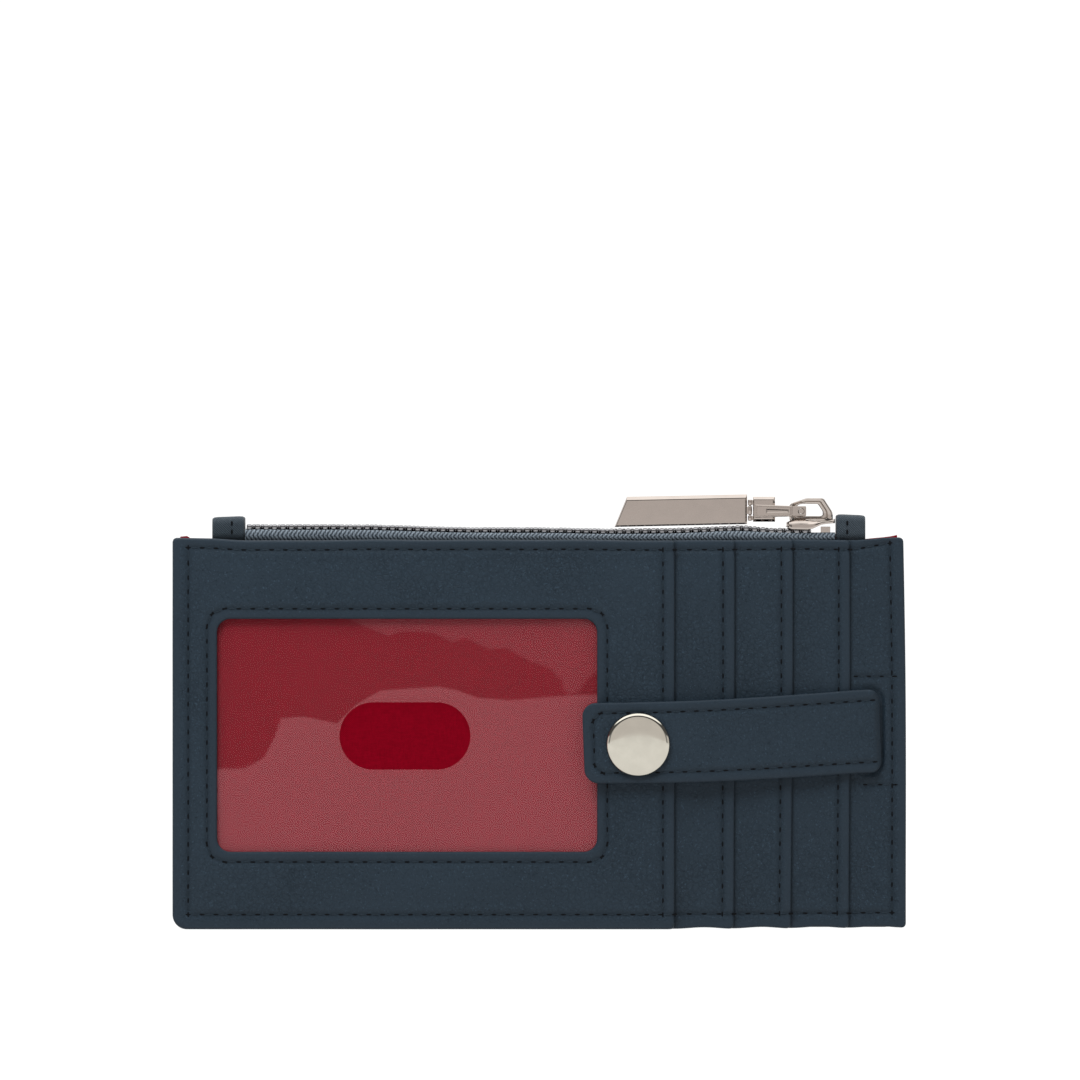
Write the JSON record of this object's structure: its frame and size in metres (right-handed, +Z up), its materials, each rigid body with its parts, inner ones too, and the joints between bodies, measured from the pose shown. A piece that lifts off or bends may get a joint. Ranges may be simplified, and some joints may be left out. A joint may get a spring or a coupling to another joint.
{
  "type": "zip card holder",
  "caption": "Upright zip-top leather card holder: coin pouch, stepped card pockets, clear window with a thumb slot, snap strap and a hinged metal zip puller.",
  "frame": {"origin": "bottom centre of the bounding box: mid-width, mid-depth, on the plane of the bottom seam", "axes": "+Z up, the card pockets and the window face -Y, +X to the viewer's right, where the strap is rooted"},
  "size_m": [0.152, 0.018, 0.09],
  "materials": {
    "navy_leather": "pebbled grain, satin",
    "seam_leather": "turned edge, satin",
    "red_lining": "smooth fine weave",
    "clear_film": "glossy, clear",
    "stiffener_board": "matt board",
    "navy_tape": "herringbone weave",
    "navy_tab_cloth": "fine twill",
    "silver_teeth": "bright",
    "nickel_puller": "polished nickel",
    "nickel_snap": "polished nickel"
  },
  "bodies": {
    "wallet": {"window_panel": "navy_leather", "window_film": "clear_film", "window_panel_hem": "navy_leather", "card_panel_1": "navy_leather", "card_panel_1_hem": "navy_leather", "card_panel_2": "navy_leather", "card_panel_2_hem": "navy_leather", "card_panel_3": "navy_leather", "card_panel_3_hem": "navy_leather", "pocket_lining_1": "red_lining", "pocket_lining_2": "red_lining", "pocket_lining_3": "red_lining", "pocket_lining_4": "red_lining", "base_panel": "navy_leather", "front_stiffener": "stiffener_board", "strap_tail": "navy_leather", "zip_tape_front": "navy_tape", "front_lining": "red_lining", "pouch_seam": "seam_leather", "back_lining": "red_lining", "back_stiffener": "stiffener_board", "zip_tape_rear": "navy_tape", "back_panel": "navy_leather", "zip_end_tab_left": "navy_tab_cloth", "zip_end_tab_right": "navy_tab_cloth", "snap_stud": "nickel_snap", "snap_stud_rivet": "nickel_snap"},
    "zip_row_front": {"zip_tape_edge_front": "navy_tape", "zip_teeth_front": "silver_teeth"},
    "zip_row_rear": {"zip_tape_edge_rear": "navy_tape", "zip_teeth_rear": "silver_teeth"},
    "slider": {"slider_body": "nickel_puller", "slider_loop": "nickel_puller"},
    "cross_pin": {"link_cross_pin": "nickel_puller"},
    "link": {"puller_link": "nickel_puller", "bar_pin": "nickel_puller"},
    "bar": {"puller_bar": "nickel_puller"},
    "strap": {"strap_outer": "navy_leather", "strap_lining": "navy_leather", "snap_cap": "nickel_snap", "snap_socket": "nickel_snap"}
  },
  "joints": [
    {"name": "zip_slide", "type": "slide", "parent": "wallet", "child": "slider", "axis": [-1, 0, 0], "range_m": [0, 0.1112], "deforming": ["zip_tape_edge_front", "zip_teeth_front", "zip_tape_edge_rear", "zip_teeth_rear"]},
    {"name": "front_row_open", "type": "hinge", "parent": "wallet", "child": "zip_row_front", "pos_m": [0, 0.0027, 0.0805], "axis": [1, 0, 0], "range_deg": [0, 50]},
    {"name": "rear_row_open", "type": "hinge", "parent": "wallet", "child": "zip_row_rear", "pos_m": [0, 0.008, 0.0814], "axis": [-1, 0, 0], "range_deg": [0, 50]},
    {"name": "link_flip", "type": "hinge", "parent": "slider", "child": "cross_pin", "pos_m": [0.0543, 0.00535, 0.0865], "axis": [0, 1, 0], "range_deg": [0, 112]},
    {"name": "link_lift", "type": "hinge", "parent": "cross_pin", "child": "link", "pos_m": [0.0543, 0.00535, 0.0865], "axis": [0, 1, 0], "range_deg": [0, 16.5]},
    {"name": "bar_swing", "type": "hinge", "parent": "link", "child": "bar", "pos_m": [0.0437, 0.00535, 0.0866], "axis": [0, 0, 1], "range_deg": [-70, 70]},
    {"name": "strap_open", "type": "hinge", "parent": "wallet", "child": "strap", "pos_m": [0.0712, 0.0006, 0.04095], "axis": [0, 0, 1], "range_deg": [0, 150]}
  ],
  "couplings": [
    {"joint": "front_row_open", "follows": "zip_slide", "rad_per_m": 7.8476},
    {"joint": "rear_row_open", "follows": "zip_slide", "rad_per_m": 7.8476},
    {"joint": "link_lift", "follows": "zip_slide", "rad_per_m": 2.5896}
  ]
}
